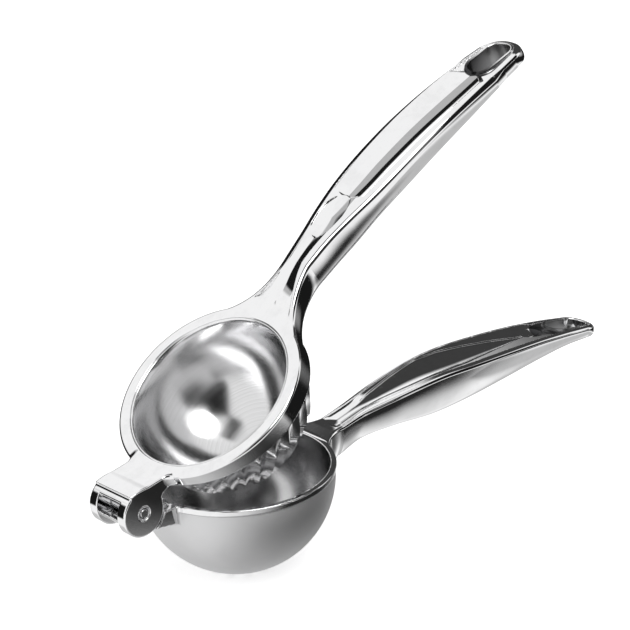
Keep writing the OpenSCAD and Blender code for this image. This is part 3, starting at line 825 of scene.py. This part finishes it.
cupFinish = {
    "colour": (0.87, 0.87, 0.875), "dull": (0.80, 0.80, 0.805), "rough": 0.10, "haze": 0.04, "waves": 1.0,
    "scratches": 1.0, "bumpReach": 0.00003,
    # the spun inside
    "turnedColour": (0.80, 0.80, 0.805), "turnedDull": (0.62, 0.62, 0.625), "turnedRough": 0.165,
    "turnedSpread": 0.06, "turnedFrom": (0.0292, 0.0288), "stretch": 0.85, "stretchTurn": 0.25,
    "markPitch": 0.0004, "markCoarse": 3.7, "markShare": 1.6, "markDeep": 0.12,
}


def makeCupMetal():
    # the cup is spun: fine rings run round its inside, and its flutes are polished
    v = cupFinish
    material, tree, shader, place, worn, tone = metalMaterial("cupMetal", v)
    shader.inputs["Anisotropic"].default_value = v["stretch"]
    shader.inputs["Anisotropic Rotation"].default_value = v["stretchTurn"]
    fromCentre = vectorNode(tree, "SUBTRACT", place, (cup["domeX"] / 1000, 0.0, cup["domeZ"] / 1000))
    inside = rampNode(tree, vectorNode(tree, "LENGTH", fromCentre), *v["turnedFrom"])
    fromAxis = vectorNode(tree, "LENGTH", vectorNode(tree, "MULTIPLY", fromCentre, (1.0, 1.0, 0.0)))
    arc = times(tree, mathNode(tree, "ARCTAN2", fromAxis, zOf(tree, fromCentre)), cup["innerR"] / 1000)
    marks = []
    for pitch in (v["markPitch"], v["markPitch"] * v["markCoarse"]):
        ring = addNode(tree, "ShaderNodeTexNoise", noise_dimensions="1D")
        tree.links.new(mathNode(tree, "DIVIDE", arc, pitch), ring.inputs["W"])
        ring.inputs["Scale"].default_value = 1.0
        ring.inputs["Detail"].default_value = 2.0
        marks.append(ring.outputs[0])
    fine, wide = marks
    turned = plus(tree, times(tree, wide, v["turnedSpread"]), v["turnedRough"] - v["turnedSpread"] / 2)
    share = times(tree, inside, mathNode(tree, "SUBTRACT", turned, worn["Roughness"]))
    tree.links.new(plus(tree, worn["Roughness"], share), shader.inputs["Roughness"])
    tone = mixTone(tree, inside, tone, mixTone(tree, fine, v["turnedColour"], v["turnedDull"]))
    tree.links.new(tone, shader.inputs["Base Color"])
    rings = times(tree, plus(tree, fine, times(tree, wide, v["markShare"])), inside)
    bumpInto(tree, shader, plus(tree, worn["Height"], times(tree, rings, v["markDeep"])), v["bumpReach"])
    return material


pinFinish = {
    "colour": (0.72, 0.72, 0.73), "dull": (0.60, 0.60, 0.61), "rough": 0.16, "haze": 0.12, "waves": 0.6,
    "scratches": 1.5, "bumpReach": 0.00003,
}


def makePinMetal():
    # plain drawn steel, a little duller than the castings
    v = pinFinish
    material, tree, shader, _, worn, tone = metalMaterial("pinMetal", v)
    tree.links.new(tone, shader.inputs["Base Color"])
    tree.links.new(worn["Roughness"], shader.inputs["Roughness"])
    bumpInto(tree, shader, worn["Height"], v["bumpReach"])
    return material


castMetal = makeCastMetal()
cupMetal = makeCupMetal()
pinMetal = makePinMetal()
stageLine("materials")

for piece, node, body, slot, material in (
    (pressPiece, "press_arm", "press_side", "cast_metal", castMetal),
    (bowlPiece, "bowl_arm", "bowl_side", "cast_metal", castMetal),
    (cupPiece, "press_cup", "press_side", "cup_metal", cupMetal),
    (pinPiece, "hinge_pin", "press_side", "pin_metal", pinMetal),
):
    piece.data.materials.append(material)
    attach(piece, body)
    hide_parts(node)


def makeFlagGroup():
    # the mask of one soft-edged studio flag, seen in a given direction
    group, given, result = newGroup(
        "studioFlag",
        {"Direction": "Vector", "Centre": "Vector", "Across": "Vector", "Up": "Vector",
         "Width": "Float", "Height": "Float", "Soft": "Float", "Darkness": "Float"}, {"Mask": "Float"})
    least = 0.05    # only what lies well in front of the flag's plane
    front = vectorNode(group, "DOT_PRODUCT", given["Direction"], given["Centre"])
    mask = mathNode(group, "GREATER_THAN", front, least)
    for axis, size in (("Across", "Width"), ("Up", "Height")):
        part = vectorNode(group, "DOT_PRODUCT", given["Direction"], given[axis])
        part = mathNode(group, "DIVIDE", mathNode(group, "ABSOLUTE", part),
                        mathNode(group, "MAXIMUM", front, least))
        inside = mathNode(group, "SUBTRACT", given[size], part)
        edge = mathNode(group, "ADD", mathNode(group, "DIVIDE", inside, given["Soft"]), 0.5, clamp=True)
        mask = times(group, mask, rampNode(group, edge, 0.0, 1.0))
    group.links.new(times(group, mask, given["Darkness"]), result["Mask"])
    return group


# each flag: the bearing and height it hangs at, half its width and height, its soft edge, how dark it is
flags = {
    "backRight": (22, 25, 27, 31, 8, 0.95),
    "right": (-48, 26, 20, 28, 8, 0.99),
    "byCamera": (-132, 22, 15, 24, 10, 0.99),
    "overLeft": (-170, 62, 10, 15, 8, 0.95),
    "back": (100, 2, 42, 24, 8, 0.99),
    "backTop": (92, 14, 30, 20, 6, 0.5),
    "front": (-95, 12, 27, 20, 8, 0.97),
    "lowRight": (0, -17, 42, 11, 7, 0.99),
    "lowGray": (5, -41, 42, 7, 5, 0.45),
    "under": (0, -85, 50, 28, 20, 0.4),
}
studio = {"fill": 0.75, "floorHalf": 3.0, "floorTone": (0.9, 0.9, 0.9, 1), "floorRough": 0.9, "floorGlow": 0.5}


def makeFlag(tree, group, direction, name, bearing, height, *spread):
    # spread is half the width, half the height and the soft edge as angles, then the darkness
    b, e = math.radians(bearing), math.radians(height)
    centre = Vector((math.cos(b) * math.cos(e), math.sin(b) * math.cos(e), math.sin(e)))
    across = Vector((-math.sin(b), math.cos(b), 0))
    halfWidth, halfHeight, soft = (math.tan(math.radians(angle)) for angle in spread[:3])
    flag = addNode(tree, "ShaderNodeGroup", node_tree=group, name=name)
    for socket, value in (("Direction", direction), ("Centre", centre), ("Across", across),
                          ("Up", centre.cross(across)), ("Width", halfWidth), ("Height", halfHeight),
                          ("Soft", soft), ("Darkness", spread[3])):
        feed(tree, flag.inputs[socket], value)
    return flag.outputs["Mask"]


def makeWorld():
    # even white, with the flags in it for what the metal sees
    world = bpy.data.worlds.new("studio")
    bpy.context.scene.world = world
    world.use_nodes = True
    tree = world.node_tree
    background = tree.nodes["Background"]
    group = makeFlagGroup()
    direction = addNode(tree, "ShaderNodeTexCoord").outputs["Generated"]
    darkest = 0.0
    for name, values in flags.items():
        darkest = mathNode(tree, "MAXIMUM", darkest, makeFlag(tree, group, direction, name, *values))
    seen = rayKinds(tree, "Is Camera Ray", "Is Glossy Ray", "Is Transmission Ray")
    glossy = rayKinds(tree, "Is Glossy Ray", "Is Transmission Ray")
    strength = addNode(tree, "ShaderNodeMapRange")
    strength.inputs["To Min"].default_value = studio["fill"]
    tree.links.new(seen, strength.inputs["Value"])
    tone = mathNode(tree, "SUBTRACT", 1.0, times(tree, darkest, glossy))
    tree.links.new(times(tree, strength.outputs[0], tone), background.inputs["Strength"])
    background.inputs["Color"].default_value = (1, 1, 1, 1)


def makeFloor():
    half = studio["floorHalf"]
    mesh = bpy.data.meshes.new("floor")
    mesh.from_pydata([(-half, -half, 0), (half, -half, 0), (half, half, 0), (-half, half, 0)], [], [(0, 1, 2, 3)])
    material, tree, shader = newMaterial("paleFloor")
    shader.inputs["Base Color"].default_value = studio["floorTone"]
    shader.inputs["Roughness"].default_value = studio["floorRough"]
    shader.inputs["Emission Color"].default_value = (1, 1, 1, 1)
    glow = times(tree, rayKinds(tree, "Is Camera Ray"), studio["floorGlow"])
    tree.links.new(glow, shader.inputs["Emission Strength"])
    mesh.materials.append(material)
    floor = addObject("floor", mesh)
    floor.visible_glossy = False
    return floor


shade = {
    "middle": (0.075, -0.09), "below": -0.0006, "half": (0.18, 0.084), "turn": -10,
    "edge": 0.65, "tone": (0.03, 0.03, 0.03, 1), "corners": 72,
}


def makeFloorShade():
    # what the metal sees of the shaded floor at its front right; no camera ray meets it
    v = shade
    corners = np.linspace(0, 2 * math.pi, v["corners"], endpoint=False)
    mesh = bpy.data.meshes.new("floorShade")
    mesh.from_pydata([(math.cos(a), math.sin(a), 0) for a in corners], [], [tuple(range(v["corners"]))])
    material, tree, shader = newMaterial("floorShade")
    fromMiddle = vectorNode(tree, "LENGTH", addNode(tree, "ShaderNodeTexCoord").outputs["Object"])
    shader.inputs["Base Color"].default_value = v["tone"]
    shader.inputs["Roughness"].default_value = 1
    shader.inputs["Specular IOR Level"].default_value = 0
    tree.links.new(rampNode(tree, fromMiddle, 1.0, 1.0 - v["edge"]), shader.inputs["Alpha"])
    mesh.materials.append(material)
    card = addObject("floorShade", mesh)
    card.location = (*v["middle"], v["below"])
    card.rotation_euler = (0, 0, math.radians(v["turn"]))
    card.scale = (*v["half"], 1)
    card.visible_camera = card.visible_diffuse = card.visible_shadow = False
    return card


makeWorld()
floor = makeFloor()
floorShade = makeFloorShade()

# one wide soft box high over the front
lamp = {"size": 1.1, "power": 8, "place": (-0.1, -0.95, 1.36), "aim": (0.06, 0, 0.06)}
softBox = addObject("softBox", bpy.data.lights.new("softBox", "AREA"))
softBox.data.shape = "DISK"
softBox.data.size = lamp["size"]
softBox.data.energy = lamp["power"]
softBox.location = lamp["place"]
softBox.rotation_euler = (Vector(lamp["aim"]) - softBox.location).to_track_quat("-Z", "Y").to_euler()
stageLine("studio")

view = {
    "lens": 188.534, "sensor": 36, "far": 20, "place": (-0.638136, -0.774175, 0.526923),
    "right": (0.7377359, -0.6733895, -0.0478780), "up": (0.3019128, 0.2656653, 0.9155712),
}
camera = addObject("camera", bpy.data.cameras.new("camera"))
right, up = Vector(view["right"]), Vector(view["up"])
turn = Matrix((right, up, right.cross(up))).transposed().to_4x4()
camera.matrix_world = Matrix.Translation(Vector(view["place"])) @ turn
camera.data.sensor_width = view["sensor"]
camera.data.lens = view["lens"]
camera.data.clip_end = view["far"]
bpy.context.scene.camera = camera
bpy.context.scene.view_settings.view_transform = "Standard"

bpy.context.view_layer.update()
stageLine("done")
